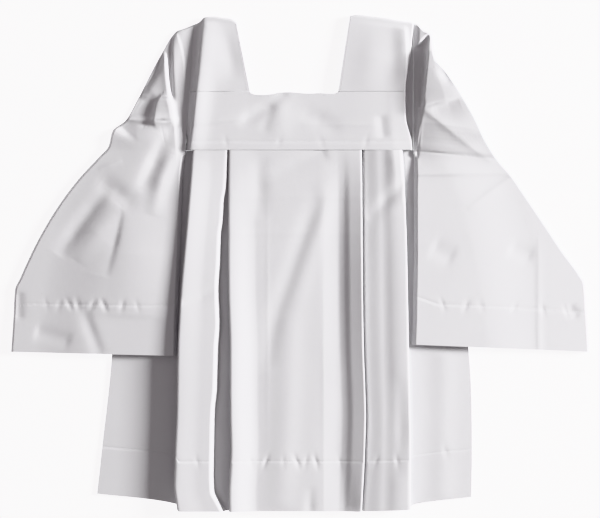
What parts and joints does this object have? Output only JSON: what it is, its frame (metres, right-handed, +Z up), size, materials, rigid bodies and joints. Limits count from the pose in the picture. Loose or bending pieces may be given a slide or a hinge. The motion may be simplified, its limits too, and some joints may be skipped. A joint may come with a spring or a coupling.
{
  "type": "surplice",
  "caption": "Child's square-necked white surplice with wide sleeves and a pleated skirt on a yoke, laid flat on its back, front up.",
  "frame": {"origin": "on the surface that the garment lies on, under the middle of its outline", "axes": "+X across to the wearer's left sleeve, +Y from the hem up to the neck, +Z up out of the front"},
  "size_m": [0.6974, 0.5969, 0.0186],
  "materials": {
    "white_cloth": "plain-woven polyester and cotton, lightly pressed, with a faint sheen"
  },
  "bodies": {
    "root": {"skirt_front": "white_cloth", "skirt_back": "white_cloth", "yoke_front": "white_cloth", "yoke_back": "white_cloth", "strap_right": "white_cloth", "strap_left": "white_cloth", "sleeve_right": "white_cloth", "sleeve_left": "white_cloth"}
  },
  "joints": []
}
